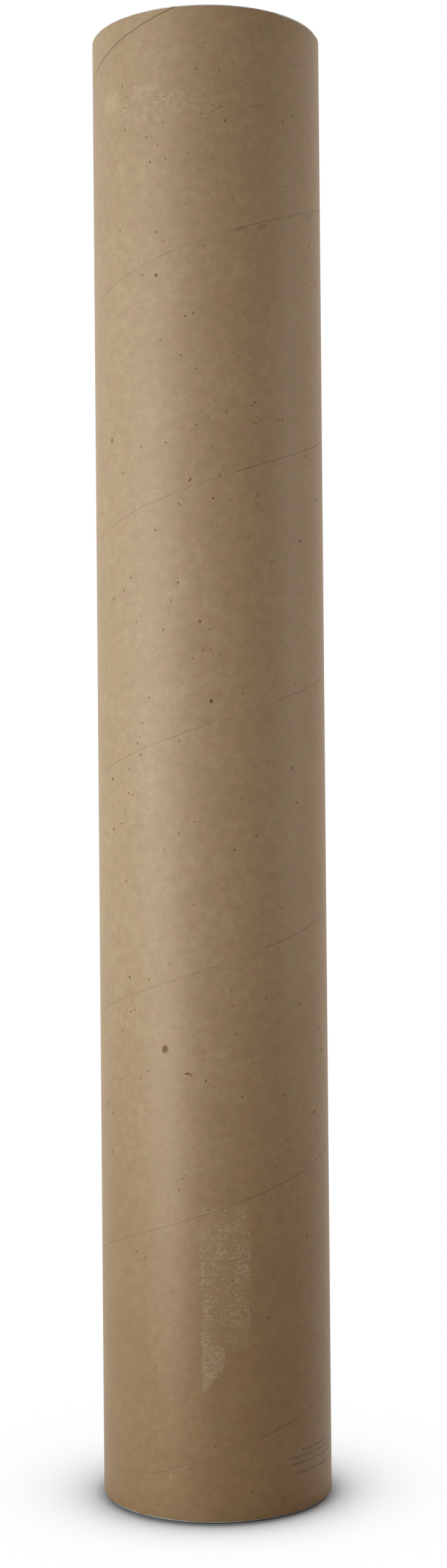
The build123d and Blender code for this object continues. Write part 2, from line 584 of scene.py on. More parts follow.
# %% Pale fibres and torn bits, and a rubbed patch near the top
pale = [
    (250, 1066, 1.2, 1.2, 0), (476, 1067, 1.6, 2.4, 20), (287, 1156, 3.0, 0.7, 0), (355, 977, 0.7, 6.0, 0),
    (256, 1335, 1.0, 1.0, 0), (290, 1333, 1.0, 1.0, 0), (290, 908, 1.0, 1.0, 0), (320, 932, 1.0, 1.2, 0),
    (247, 757, 1.4, 2.2, -25), (283, 2300, 1.2, 1.0, 0), (287, 2037, 2.4, 0.7, 0), (280, 2427, 0.7, 3.0, 0),
    (402, 677, 0.8, 6.0, 0), (266, 856, 1.6, 1.2, 0), (389, 852, 1.5, 1.5, 0), (331, 530, 1.4, 1.0, 0),
    (410, 590, 0.6, 4.0, 0), (333, 1852, 1.0, 1.0, 0), (317, 1615, 1.0, 1.0, 0), (428, 1764, 1.2, 1.4, 0),
    (274, 1671, 2.6, 1.8, 8), (280, 1670, 3.0, 1.4, 4), (287, 1669, 3.0, 1.6, 4), (293, 1669, 2.2, 1.8, 0),
    (303, 144, 3.0, 1.2, 15), (309, 147, 2.6, 1.0, 10), (297, 142, 2.0, 0.8, 0), (333, 148, 2.4, 1.0, -20),
    (340, 151, 3.0, 1.2, -15), (347, 154, 2.0, 1.0, -20), (337, 146, 1.6, 0.6, 0), (314, 146, 1.6, 0.6, 20),
    (325, 883, 3.0, 0.8, 0), (335, 884, 3.0, 0.8, 0), (346, 883, 2.5, 0.8, 0), (342, 188, 1.2, 0.6, 0),
    (221, 2481, 1.4, 0.7, -15), (243, 2487, 2.5, 0.6, -10), (258, 2490, 1.0, 0.8, 0),
    (294, 197, 2.4, 1.0, 0), (282, 203, 2.4, 0.8, 10), (265, 205, 2.0, 0.6, 0), (290, 145, 2.6, 1.0, 0),
    (321, 147, 1.6, 0.8, 10), (306, 149, 2.0, 0.7, -20), (327, 150, 1.6, 0.8, -15),
    (340, 154, 1.8, 0.6, -20), (350, 152, 1.4, 0.8, -10), (281, 140, 1.6, 1.0, 0), (284, 167, 1.6, 1.4, 0),
    (290, 170, 1.4, 1.2, 0), (303, 171, 1.0, 1.4, 0), (307, 178, 1.2, 1.0, 0), (336, 173, 1.2, 1.0, 0),
    (336, 190, 1.4, 0.6, 0), (222, 143, 2.6, 1.0, 0), (231, 145, 3.0, 1.2, 0), (243, 146, 3.0, 1.2, -10),
    (252, 148, 2.6, 1.2, -10), (192, 156, 1.2, 2.4, 0),
]
for mark in pale:
    press_at(*mark, tone=chance.uniform(1.5, 2.0))
rubbed_count = 26
for _ in range(rubbed_count):
    px, py = chance.uniform(184, 250), chance.uniform(150, 192)
    half_wide, half_tall = chance.uniform(0.6, 1.6), chance.uniform(0.5, 0.9)
    tilt = chance.uniform(-25, 25)
    press_at(px, py, half_wide, half_tall, tilt, tone=chance.choice((0.8, 0.9, 1.4, 1.6)))
print(len(pale), "pale fibres and", rubbed_count, "rubbed bits")

# %% Scatter others over the rest of the tube
seen_left, seen_right = on_tube(182, 1288)[0], on_tube(512, 1288)[0]
scatter_count, rim_margin = 330, 3 * MM
for _ in range(scatter_count):
    angle = chance.uniform(seen_right, seen_left + math.tau)
    level = chance.uniform(foot + rim_margin, head - rim_margin)
    kind = chance.choice(("flake", "flake", "flake", "flake", "flake", "knot", "fibre"))
    tilt = chance.uniform(-90, 90)
    if kind == "fibre":
        half_wide, half_tall = 0.2, chance.uniform(0.5, 1.2)
        tone = chance.uniform(1.4, 1.9)
    elif kind == "knot":
        half_wide, half_tall = 0.6, chance.uniform(0.5, 0.8)
        tone = chance.uniform(0.1, 0.4)
    else:
        half_wide, half_tall = chance.uniform(0.25, 0.5), chance.uniform(0.25, 0.5)
        tone = chance.uniform(0.3, 0.9)
    press_in(angle, level, half_wide * MM, half_tall * MM, tilt, tone)
print(scatter_count, "specks scattered where the photograph doesn't look")

# %% Join them
take_up(flake)
bpy.ops.object.delete()
for piece in pressed:
    piece.select_set(True)
bpy.context.view_layer.objects.active = pressed[0]
bpy.ops.object.join()
flecks = bpy.context.object
flecks.name = "pulp_flecks"
print("flecks:", len(flecks.data.polygons), "faces")

# %% [markdown]
# ## What the tape left
#
# A strip of tape was once pulled off near the foot. It left a thin torn film, thick down both sides and in
# a flap at the bottom, with crumbs between. We lay a fine grid in front of the tube, delete the faces
# where nothing is left, smooth the torn outlines, and press the film on with a Shrinkwrap modifier.
# Solidify then gives it a thickness, most of it sunk in the paper.

# %% Lay a grid over the strip
corner_low, corner_high = point_on_tube(326, 2294), point_on_tube(416, 1970)
cell = 0.24 * MM
film_wide, film_tall = corner_high.x - corner_low.x, corner_high.z - corner_low.z
film_middle_x, film_middle_z = (corner_low.x + corner_high.x) / 2, (corner_low.z + corner_high.z) / 2
bpy.ops.object.select_all(action="DESELECT")
bpy.ops.mesh.primitive_grid_add(
    x_subdivisions=round(film_wide / cell), y_subdivisions=round(film_tall / cell), size=1
)
residue = bpy.context.object
residue.name = "tape_residue"
residue.scale = (film_wide, film_tall, 1)
residue.rotation_euler.x = math.pi / 2
residue.location = (film_middle_x, -outer_radius - 1 * MM, film_middle_z)
bpy.ops.object.transform_apply(location=True, rotation=True, scale=True)
print("grid:", len(residue.data.polygons), "faces")

# %% Where film is left
# (left, top, right and bottom pixel, and the share of the film that is left there)
patches = [
    (329, 1980, 411, 2182, 0.42), (387, 1980, 404, 2019, 0.7), (386, 2040, 412, 2110, 0.72),
    (330, 2020, 351, 2180, 0.5), (352, 2004, 388, 2072, 0.55), (373, 2122, 402, 2182, 0.5),
    (372, 2186, 390, 2208, 0.45), (330, 2150, 346, 2205, 0.55),
]
boxes = [(point_on_tube(x0, y1), point_on_tube(x1, y0), share) for x0, y0, x1, y1, share in patches]
flap = [
    (333, 2190), (343, 2198), (350, 2213), (362, 2212), (371, 2219), (372, 2229), (368, 2246),
    (360, 2260), (349, 2271), (340, 2285), (334, 2291), (331, 2282), (332, 2240), (331, 2205),
]
flap_outline = [point_on_tube(px, py) for px, py in flap]
noise.seed_set(3)  # without a seed the film would tear in another way each time


def drifted(point):
    """A point moved a little by a noise, so that straight outlines come out torn."""
    return point + noise.noise_vector(point / (3 * MM)) * 0.6 * MM


def share_left(point):
    """The largest share of film that a patch leaves at this point."""
    return max(
        (share for low, high, share in boxes if low.x < point.x < high.x and low.z < point.z < high.z),
        default=0.0,
    )


def in_flap(point):
    """Whether a point lies inside the flap: a line from it to the right then crosses the outline once."""
    crossings = 0
    for one, two in zip(flap_outline, flap_outline[1:] + flap_outline[:1]):
        if (one.z > point.z) != (two.z > point.z):
            crossings += point.x < one.x + (point.z - one.z) / (two.z - one.z) * (two.x - one.x)
    return crossings % 2 == 1


def film_left(point):
    """Whether any film is left here: a flap with holes, or curls and crumbs as the share allows."""
    place = drifted(point)
    flat = Vector((0.6 * point.x, 0, point.z))
    curl = abs(noise.noise(flat / (1.2 * MM)))
    crumb = noise.noise(flat / (0.7 * MM))
    share = share_left(place)
    if in_flap(place):
        return crumb > -0.3
    return share > 0 and (curl < 0.3 * (share - 0.1) or crumb > 0.62 - 0.7 * share)


print(len(patches), "patches of film, and a flap with", len(flap), "corners")

# %% Tear it, and part the faces that hang together by one corner
count = choose(residue, "polygons", lambda face: not film_left(face.center))
bpy.ops.mesh.delete(type="FACE")
bpy.ops.object.mode_set(mode="OBJECT")

faces_at_edge = Counter(key for face in residue.data.polygons for key in face.edge_keys)
open_edges = Counter(index for key, faces in faces_at_edge.items() if faces == 1 for index in key)
corners = choose(residue, "vertices", lambda vertex: open_edges[vertex.index] > 2)
bpy.ops.mesh.edge_split(type="VERT")
bpy.ops.mesh.select_all(action="SELECT")
bpy.ops.mesh.vertices_smooth(factor=0.5, repeat=3)
bpy.ops.object.mode_set(mode="OBJECT")
print("torn away:", count, "faces, parted at", corners, "corners, left:", len(residue.data.polygons))

# %% Press it on
apply_modifier(
    residue, "SHRINKWRAP", "press on", target=tube, wrap_method="PROJECT", wrap_mode="ABOVE_SURFACE",
    use_project_y=True, use_positive_direction=True, use_negative_direction=False, offset=0.016 * MM,
)
apply_modifier(residue, "SOLIDIFY", "thicken", thickness=0.03 * MM, offset=-1.0)
smooth(residue)
flap_cover, crumb_cover = 0.5, 0.75
covers = [flap_cover if in_flap(drifted(vertex.co)) else crumb_cover for vertex in residue.data.vertices]
residue.data.attributes.new("cover", "FLOAT", "POINT").data.foreach_set("value", covers)
print("tape residue:", len(residue.data.polygons), "faces")

# %% [markdown]
# ## The end plugs
#
# Each end is closed by a moulded plastic cup. Its thin lip sits on the tube's rim and tapers to its edge,
# and its skirt, drawn in by a degree and a half so that it leaves the mould, carries ribs that grip the
# bore. It is a turned shape, so we draw half its section and spin it with the Screw modifier, without any
# rise this time. A ring of points beside each corner of the floor keeps the flat floor's shading flat.

# %% Draw half the cup's section
lip_radius = radii("bottom_plug")[1]
plug_low, plug_high = (corner.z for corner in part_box("bottom_plug"))
lip_thickness = foot - plug_low
plug_depth = plug_high - foot
plug_wall, plug_floor = 1.2 * MM, 1.4 * MM
skirt_clearance, skirt_draft = 0.8 * MM, math.radians(1.5)
lip_taper, lip_edge, nose = 1.5 * MM, 0.6 * MM, 1.0 * MM
rib_start, rib_lead_in = 2.0 * MM, 4.0 * MM
gate_radius, gate_height = 3.0 * MM, 0.7 * MM
support = 0.8 * MM


def skirt(depth):
    """The skirt's outside radius at this depth in the bore."""
    return bore_radius - skirt_clearance - depth * math.tan(skirt_draft)


floor_face = plug_depth - plug_floor
rib_end = plug_depth - nose
cup_section = [
    (0, floor_face - gate_height),
    (gate_radius, floor_face - gate_height),
    (gate_radius, floor_face),
    (gate_radius + support, floor_face),
    (skirt(floor_face) - plug_wall - support, floor_face),
    (skirt(floor_face) - plug_wall, floor_face),
    (skirt(0) - plug_wall, -lip_thickness),
    (lip_radius - lip_taper, -lip_thickness),
    (lip_radius, -lip_edge),
    (lip_radius, 0),
    (skirt(0), 0),
    (skirt(rib_start), rib_start),
    (skirt(rib_end - rib_lead_in), rib_end - rib_lead_in),
    (skirt(rib_end), rib_end),
    (skirt(plug_depth) - nose, plug_depth),
    (skirt(plug_depth) - nose - support, plug_depth),
    (0, plug_depth),
]
plug = draw_line("bottom_end_plug", [Vector((radius, 0, foot + depth)) for radius, depth in cup_section])
print(f"cup {plug_depth:.4f} m deep, with a lip {2 * lip_radius:.4f} m across")

# %% Turn the cup
rib_count, columns_per_rib = 16, 12
columns = rib_count * columns_per_rib
apply_modifier(
    plug, "SCREW", "turn", axis="Z", angle=math.tau, screw_offset=0, iterations=1,
    steps=columns, render_steps=columns, use_merge_vertices=True, merge_threshold=same_point,
)
bpy.ops.object.mode_set(mode="EDIT")
merge_and_face_out(same_point)
bpy.ops.object.mode_set(mode="OBJECT")
print("turned cup:", len(plug.data.polygons), "faces")

# %% [markdown]
# The ribs grow out of the skirt: one column of faces in every twelve is extruded to the crest's radius.
# The last row stays on the skirt, so that each rib slopes in at its end and leads the plug into the bore.

# %% Raise the grip ribs
rib_crest = bore_radius - 0.3 * MM


def column_of(point):
    return math.atan2(point.y, point.x) / math.tau * columns % columns


def in_rib(face):
    depth = face.center.z - foot
    on_skirt = from_axis(face.center) > skirt(depth) - 0.1 * MM
    return on_skirt and rib_start < depth < rib_end and column_of(face.center) % columns_per_rib < 1


def raised_at(depth):
    """A test for the points raised from the skirt near this depth."""
    def test(vertex):
        below = vertex.co.z - foot
        return abs(below - depth) < 0.2 * MM and from_axis(vertex.co) > skirt(below) + 0.3 * MM
    return test


count = choose(plug, "polygons", in_rib)
bpy.ops.mesh.extrude_region_shrink_fatten(TRANSFORM_OT_shrink_fatten={"value": 0.5 * MM})
for depth in (rib_start, rib_end - rib_lead_in, rib_end):
    choose(plug, "vertices", raised_at(depth))
    bpy.ops.object.mode_set(mode="OBJECT")
    raised = [vertex.co for vertex in plug.data.vertices if vertex.select]
    level = max(point.z for point in raised)
    wanted = skirt(depth) if depth == rib_end else rib_crest
    growth = wanted / max(from_axis(point) for point in raised)
    bpy.ops.object.mode_set(mode="EDIT")
    bpy.ops.transform.resize(value=(growth, growth, 1), center_override=(0, 0, level))
    bpy.ops.transform.translate(value=(0, 0, foot + depth - level))
merge_and_face_out(2 * same_point)
bpy.ops.object.mode_set(mode="OBJECT")
print(count // 2, "ribs raised")

# %% Soften the moulding's edges, and copy it to the other end
apply_modifier(
    plug, "BEVEL", "soften", width=0.12 * MM, segments=2, limit_method="ANGLE", angle_limit=math.radians(40)
)
smooth(plug)

bpy.ops.object.duplicate(linked=False)
top_plug = bpy.context.object
top_plug.name = "top_end_plug"
top_plug.rotation_euler.x = math.pi
top_plug.location.z = foot + head
bpy.ops.object.transform_apply(location=True, rotation=True, scale=False)
print("plugs:", len(plug.data.polygons), "faces each")

# %% [markdown]
# ## Hang the pieces on the frame
#
# Each plug can be pulled from the tube, so every piece has to ride on the body that carries it. A piece that
# stands for a CAD solid replaces it, so that the plain solid no longer shows. The specks and the tape's film
# are on the paper, so they ride on the tube and replace nothing.

# %% Hang them
for piece, node, slot in (
    (tube, "tube", "kraft_paperboard"),
    (plug, "bottom_plug", "white_polyethylene"),
    (top_plug, "top_plug", "white_polyethylene"),
):
    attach(piece, node)
    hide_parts(node)
for piece in (flecks, residue):
    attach(piece, "tube")
print("hung on the frame: tube, flecks, tape residue and two plugs")

# %% [markdown]
# ## Kraft paper
#
# Kraft paper is unbleached: brown wood fibres laid mostly along the strip, with a soft cloudiness, redder
# blushes and rusty bits. Paint on a flat map would break at the seam, so the finish is a recipe of noise in
# the strip's own coordinates: how far along the strip a point lies, and how far across it. They follow the
# winding round the tube and change only at the seam, as real paper does. First comes a small kit that
# writes such a recipe line by line, where the node editor would need a screen full of wires.


# %% A small kit for writing finishes
class Finish:
    """A material written as a recipe: each call adds one node and hands back its output."""

    def __init__(self, name):
        self.material = bpy.data.materials.new(name)
        self.material.use_nodes = True
        self.tree = self.material.node_tree
        self.shader = self.tree.nodes["Principled BSDF"]
        self.place = self.node("ShaderNodeTexCoord").outputs["Object"]

    def feed(self, socket, value):
        if isinstance(value, bpy.types.NodeSocket):
            self.tree.links.new(value, socket)
        else:
            socket.default_value = value

    def node(self, kind, inputs=None, **settings):
        node = self.tree.nodes.new(kind)
        for key, value in settings.items():
            setattr(node, key, value)
        for key, value in (inputs or {}).items():
            self.feed(node.inputs[key], value)
        return node

    def math(self, operation, *values):
        node = self.node("ShaderNodeMath", dict(enumerate(values)), operation=operation)
        return node.outputs[0]

    def times(self, value, *factors):
        for factor in factors:
            value = self.math("MULTIPLY", value, factor)
        return value

    def vector(self, operation, *values):
        node = self.node("ShaderNodeVectorMath", dict(enumerate(values)), operation=operation)
        return node.outputs["Value" if operation == "LENGTH" else "Vector"]

    def split(self, vector):
        return self.node("ShaderNodeSeparateXYZ", {0: vector}).outputs

    def join(self, x, y, z=0.0):
        return self.node("ShaderNodeCombineXYZ", {0: x, 1: y, 2: z}).outputs[0]

    def from_axis(self):
        x, y, _ = self.split(self.place)
        return self.vector("LENGTH", self.join(x, y))

    def ramp(self, value, low, high, start=0.0, end=1.0):
        """A soft step: start where the value is at low, end where it is at high."""
        inputs = {"Value": value, "From Min": low, "From Max": high, "To Min": start, "To Max": end}
        return self.node("ShaderNodeMapRange", inputs, interpolation_type="SMOOTHSTEP").outputs[0]

    def noise(self, vector, size, detail=2.0, roughness=0.5, dimensions="2D", output="Fac"):
        inputs = {"Vector": vector, "Scale": 1 / size, "Detail": detail, "Roughness": roughness}
        return self.node("ShaderNodeTexNoise", inputs, noise_dimensions=dimensions).outputs[output]

    def mix(self, factor, colour, other, blend="MIX"):
        inputs = {0: factor, 6: colour, 7: other}
        return self.node("ShaderNodeMix", inputs, data_type="RGBA", blend_type=blend).outputs[2]

    def use(self, **sockets):
        for name, value in sockets.items():
            self.feed(self.shader.inputs[name.replace("_", " ")], value)


def linear(red, green, blue):
    """A colour as it is seen, in 0 to 255, as the light values that a shader works with."""
    values = [c / 255 for c in (red, green, blue)]
    return [c / 12.92 if c <= 0.04045 else ((c + 0.055) / 1.055) ** 2.4 for c in values] + [1.0]


print("a mid kraft brown in light values:", [round(value, 3) for value in linear(170, 143, 105)[:3]])

# %% Coordinates on the strip
kraft = Finish("kraft paper")
x, y, z = kraft.split(kraft.place)
turn = kraft.math("DIVIDE", kraft.math("ARCTAN2", x, kraft.times(y, -1.0)), math.tau)
seam_front = foot - seam_rise * seam_start / math.tau
height = kraft.math("SUBTRACT", z, seam_front)
climb = kraft.math("SUBTRACT", kraft.math("DIVIDE", height, seam_rise), turn)
lap = kraft.math("FLOOR", climb)
run = kraft.times(kraft.math("ADD", lap, turn), circumference)
along = kraft.math("ADD", kraft.times(run, math.cos(strip_angle)), kraft.times(height, math.sin(strip_angle)))
across = kraft.times(kraft.math("SUBTRACT", climb, lap), ply_width)
strip = kraft.join(along, across)
print(f"the strip climbs at {math.degrees(strip_angle):.1f} degrees")

# %% Colour of the paper
fibre_run = kraft.join(kraft.times(along, 0.85), across)
cloud = kraft.noise(strip, 26 * MM, 3.0, 0.6)
blush = kraft.noise(strip, 8 * MM, 4.0, 0.7)
mottle = kraft.noise(fibre_run, 4.5 * MM, 5.0, 0.72)
rust = kraft.noise(fibre_run, 1.6 * MM, 2.0, 0.6)
paper = kraft.mix(kraft.ramp(cloud, 0.25, 0.75), linear(170, 143, 105), linear(179, 153, 113))
paper = kraft.mix(kraft.ramp(blush, 0.35, 0.7, 0.0, 0.9), paper, linear(178, 143, 110))
paper = kraft.mix(kraft.ramp(mottle, 0.25, 0.75, 0.65, 0.0), paper, linear(155, 127, 92))
paper = kraft.mix(kraft.ramp(rust, 0.55, 0.85, 0.0, 0.6), paper, linear(158, 120, 84))
low_shade_height, low_shade_tint = 0.32, (0.74, 0.66, 0.54, 1.0)  # darker and browner towards the bottom: painted shade where the light falls off low on the tube
paper = kraft.mix(kraft.ramp(z, low_shade_height, 0.0), paper, low_shade_tint, blend="MULTIPLY")
# the seam's gap shows the darker ply beneath, with painted shade in the gap on top of it
gap_ply_and_shade = kraft.ramp(kraft.from_axis(), skin_radius - 0.045 * MM, skin_radius - 0.09 * MM)
paper = kraft.mix(gap_ply_and_shade, paper, linear(104, 78, 54))
print("paper: clouds of 26 mm, blushes of 8 mm, mottle of 4.5 mm and rusty bits of 1.6 mm")

# %% [markdown]
# ## Marks of use
#
# Some marks are this tube's own and sit where the photograph shows them. Each is given by its pixel there
# and its half width and height in pixels, and turned into a place on the paper laid flat: the distance
# round the tube, and the height. A little noise makes their outlines waver.

# %% The paper laid flat
waver_size, waver_reach = 1.6 * MM, 1.2 * MM
sheet = kraft.join(kraft.times(turn, circumference), z)
waver = kraft.vector("SUBTRACT", kraft.noise(sheet, waver_size, 1.0, output="Color"), (0.5, 0.5, 0.5))
drift = kraft.vector("MULTIPLY", waver, (waver_reach, waver_reach, waver_reach))
wavering_sheet = kraft.vector("ADD", sheet, drift)


def mark_frame(px, py, half_wide, half_tall, tilt=0.0):
    """The paper seen from one mark: its middle at nought, and its half sizes one unit long."""
    angle, level = on_tube(px, py)
    wide, tall = pixel_reach(px, py)
    inputs = {
        "Vector": wavering_sheet, "Location": (angle * outer_radius, level, 0.0),
        "Rotation": (0, 0, math.radians(tilt)), "Scale": (half_wide * wide, half_tall * tall, 1.0),
    }
    return kraft.node("ShaderNodeMapping", inputs, vector_type="TEXTURE").outputs[0]


def oval(*mark, hard=0.0):
    """A round mark that fades from its middle, or from the share of its size that is hard."""
    return kraft.ramp(kraft.vector("LENGTH", mark_frame(*mark)), 1.0, hard)


def oblong(left, top, right, bottom):
    """A square-cornered mark with an almost hard outline."""
    middle = ((left + right) / 2, (top + bottom) / 2)
    sideways, up, _ = kraft.split(mark_frame(*middle, (right - left) / 2, (bottom - top) / 2))
    outline = kraft.math("MAXIMUM", kraft.math("ABSOLUTE", sideways), kraft.math("ABSOLUTE", up))
    return kraft.ramp(outline, 1.0, 0.92)


print(f"the sheet is {circumference:.4f} m round, and outlines waver by {waver_reach / MM:.1f} mm")

# %% [markdown]
# The marks go on one over another, as they came on the real tube: dark stains, places rubbed smooth whose
# sheen is painted in as a pale colour, a wide scuff near the top where the skin is rubbed pale and reddish,
# and the glue that stayed where tape was.

# %% Stains, rubbed places with a painted sheen, a scuff and a film of glue
# (pixel across and down, half width and height, tilt in degrees, strength)
stains = [
    (336, 70, 6, 5, 0, 0.35), (422, 174, 22, 5, 4, 0.3),
    (394, 377, 22, 5, 14, 0.45), (431, 373, 14, 5, 14, 0.42),
]
# rubbed places: paler paper, with a painted sheen in their pale colour
rubbed_and_sheen = [
    (236, 147, 36, 12, 0, 0.5), (182, 168, 20, 28, 0, 0.6),
    (408, 199, 26, 10, 5, 0.3), (395, 157, 14, 7, 0, 0.25),
]
for marks, colour in ((stains, linear(112, 90, 61)), (rubbed_and_sheen, linear(186, 164, 126))):
    for *mark, strength in marks:
        paper = kraft.mix(kraft.times(oval(*mark), strength), paper, colour)

scuffed = oval(262, 172, 108, 34, 3, hard=0.5)
pale_rub = kraft.ramp(kraft.noise(sheet, 3.0 * MM, 2.0, 0.65), 0.42, 0.66)
paper = kraft.mix(kraft.times(scuffed, pale_rub, 0.36), paper, linear(190, 168, 134))
elsewhere = kraft.vector("ADD", sheet, (1.0, 0.0, 0.0))
red_rub = kraft.ramp(kraft.noise(elsewhere, 2.6 * MM, 2.0, 0.6), 0.45, 0.7)
paper = kraft.mix(kraft.times(scuffed, red_rub, 0.4), paper, linear(158, 126, 100))
glue_film = oblong(330, 1978, 412, 2225)
paper = kraft.mix(kraft.times(glue_film, 0.12), paper, linear(180, 152, 114))
print(len(stains), "stains,", len(rubbed_and_sheen), "rubbed places, a scuff and a film of glue")

# %% [markdown]
# Low on the right the tube carries a plain block of ink rules, as a blank form has: four thin lines, level
# on the tube. They could be thin pieces of their own, but ink has no thickness, so they are part of the
# finish, and the paper's grain breaks them up.

# %% Ink rules
rule_starts = [(495, 2382), (475, 2397), (480, 2407), (483, 2422)]
rule_half_height, rule_half_length = 0.38 * MM, 22 * MM
ink = 0.0
for px, py in rule_starts:
    angle, level = on_tube(px, py)
    from_left, above, _ = kraft.split(kraft.vector("SUBTRACT", sheet, (angle * outer_radius, level, 0.0)))
    in_row = kraft.math("COMPARE", above, 0.0, rule_half_height)
    in_length = kraft.math("COMPARE", from_left, rule_half_length, rule_half_length)
    ink = kraft.math("MAXIMUM", ink, kraft.times(in_row, in_length))
ink = kraft.times(ink, kraft.ramp(mottle, 0.42, 0.6, 0.35, 0.75))
paper = kraft.mix(ink, paper, linear(70, 62, 60))
print(len(rule_starts), "ink rules")

# %% Finish of the paper
relief = kraft.node("ShaderNodeBump", {"Strength": 0.25, "Distance": 0.05 * MM, "Height": mottle})
kraft.use(
    Base_Color=paper, Roughness=kraft.ramp(mottle, 0.2, 0.8, 0.44, 0.52), Specular_IOR_Level=0.3,
    Normal=relief.outputs[0],
)
tube.data.materials.append(kraft.material)
print("kraft paper:", len(kraft.tree.nodes), "nodes")

# %% [markdown]
# ## Bark, fibres and the tape's film
#
# Each flake carries its own tone as an attribute of its mesh, so one finish colours them all: from dark
# bark over faint brown to pale fibre. Separate materials for each tone would do the same with more work.
# The film is a pale crumpled skin, thinner on the flap, so its share of paleness is an attribute as well.

# %% Finish of the flecks
bark = Finish("bark and fibres")
tone = bark.node("ShaderNodeAttribute", attribute_name="tone").outputs["Fac"]
uneven = bark.noise(bark.place, 0.5 * MM, dimensions="3D")
above_faint = bark.math("MAXIMUM", bark.math("SUBTRACT", tone, 1.0), 0.0)
fleck = bark.mix(bark.math("MINIMUM", tone, 1.0), linear(100, 76, 46), linear(154, 121, 80))
fleck = bark.mix(above_faint, fleck, linear(198, 175, 138))
fleck = bark.mix(bark.ramp(uneven, 0.3, 0.7, 0.0, 0.25), fleck, linear(150, 119, 82))
bark.use(Base_Color=fleck, Roughness=bark.ramp(uneven, 0.3, 0.7, 0.5, 0.62), Specular_IOR_Level=0.15)
flecks.data.materials.append(bark.material)
print("bark and fibres:", len(bark.tree.nodes), "nodes")

# %% Finish of the tape's film
film = Finish("tape residue")
crumple = film.noise(film.place, 1.1 * MM, 3.0, 0.6, dimensions="3D")
film_cover = film.node("ShaderNodeAttribute", attribute_name="cover").outputs["Fac"]
pale_share = film.times(film.ramp(crumple, 0.3, 0.7, 0.15, 1.0), film_cover)
film.use(
    Base_Color=film.mix(pale_share, linear(146, 118, 82), linear(182, 158, 122)),
    Roughness=film.ramp(crumple, 0.3, 0.7, 0.4, 0.55),
)
residue.data.materials.append(film.material)
print("tape residue:", len(film.tree.nodes), "nodes")

# %% [markdown]
# ## White plastic
#
# The plugs are moulded from white polyethylene, a little hazy and neither glossy nor matt. A flat white
# would look like paint, so a slow noise shifts its colour and its gloss. The lower lip stands on the ground,
# so it is greyed there with painted shade of the contact, and some dirt, which the finish knows by its
# height.

# %% Finish of the plugs
plastic = Finish("white polyethylene")
haze = plastic.noise(plastic.place, 9 * MM, dimensions="3D")
white = plastic.mix(haze, linear(236, 236, 232), linear(243, 243, 240))
near_ground = plastic.ramp(plastic.split(plastic.place)[2], 1.3 * MM, 0.4 * MM)
# the lower lip greyed where it meets the ground: painted shade of the contact, with some dirt
lip_ground_shade = plastic.times(near_ground, plastic.ramp(haze, 0.2, 0.6, 0.8, 1.0))
plastic.use(
    Base_Color=plastic.mix(lip_ground_shade, white, linear(166, 162, 157)),
    Roughness=plastic.ramp(haze, 0.3, 0.7, 0.38, 0.48),
)
for piece in (plug, top_plug):
    piece.data.materials.append(plastic.material)
print("white polyethylene:", len(plastic.tree.nodes), "nodes")

# %% [markdown]
# ## Rims and bore
#
# The saw leaves the plies edge on, in thin rings, and the inside shows the innermost ply, which is plainer
# and greyer than the outside. Both belong to the tube's one mesh, so we give that mesh two more material
# slots, choose their faces by place and normal, and assign them.

# %% Sawn plies and inner ply
sawn = Finish("sawn plies")
rings = sawn.noise(sawn.join(sawn.from_axis(), 0.0), 0.3 * MM)
fuzz = sawn.noise(sawn.place, 0.7 * MM, dimensions="3D")
sawn_edge = sawn.mix(sawn.ramp(rings, 0.35, 0.65), linear(146, 114, 78), linear(182, 154, 118))
sawn_edge = sawn.mix(sawn.ramp(fuzz, 0.45, 0.7, 0.0, 0.5), sawn_edge, linear(130, 100, 70))
sawn.use(Base_Color=sawn_edge, Roughness=sawn.ramp(fuzz, 0.3, 0.7, 0.75, 0.9))

inner = Finish("inner ply")
soft = inner.noise(inner.place, 14 * MM, 3.0, 0.6, dimensions="3D")
pulp = inner.noise(inner.place, 1.6 * MM, 3.0, 0.65, dimensions="3D")
lining = inner.mix(inner.ramp(soft, 0.3, 0.7), linear(150, 127, 98), linear(162, 138, 108))
lining = inner.mix(inner.ramp(pulp, 0.3, 0.75, 0.4, 0.0), lining, linear(134, 110, 82))
inner.use(Base_Color=lining, Roughness=inner.ramp(pulp, 0.3, 0.7, 0.65, 0.8))
print("sawn plies:", len(sawn.tree.nodes), "nodes, inner ply:", len(inner.tree.nodes), "nodes")


# %% Choose their faces
def on_rim(face):
    return abs(face.normal.z) > 0.6 and min(face.center.z - foot, head - face.center.z) < 1 * MM


def in_bore(face):
    return from_axis(face.center) < bore_radius + 0.02 * MM and abs(face.normal.z) < 0.5


for index, (finish, test) in enumerate(((sawn, on_rim), (inner, in_bore)), start=1):
    tube.data.materials.append(finish.material)
    take_up(tube)
    tube.active_material_index = index
    count = choose(tube, "polygons", test)
    bpy.ops.object.material_slot_assign()
    bpy.ops.object.mode_set(mode="OBJECT")
    print(finish.material.name, "on", count, "faces")

# %% [markdown]
# ## The floor
#
# The photograph shows the tube on white, with only a soft shadow where it meets the ground. The floor is
# pale; near the tube a shadow is painted on it by its distance from the axis, darkest under the foot, over
# the shade that the lamps cast; farther out it turns to plain white for the camera. That white could come
# from brighter lamps, but they would bleach the tube. Light Path
# tells the floor which rays come from the camera or from a reflection, so its white lights nothing else.


# %% Lay the floor
def seen_as_background(tree):
    """1 for rays from the camera, from a reflection or through glass, and 0 for light on its way."""
    ray = tree.nodes.new("ShaderNodeLightPath").outputs
    seen = ray["Is Camera Ray"]
    for way in ("Is Glossy Ray", "Is Transmission Ray"):
        either = tree.nodes.new("ShaderNodeMath")
        either.operation = "MAXIMUM"
        tree.links.new(seen, either.inputs[0])
        tree.links.new(ray[way], either.inputs[1])
        seen = either.outputs[0]
    return seen


floor_radius = 6.0
bpy.ops.object.select_all(action="DESELECT")
bpy.ops.mesh.primitive_circle_add(vertices=96, radius=floor_radius, fill_type="NGON", location=(0, 0, 0))
floor = bpy.context.object
floor.name = "floor"
print(f"floor {2 * floor_radius:.0f} m across")
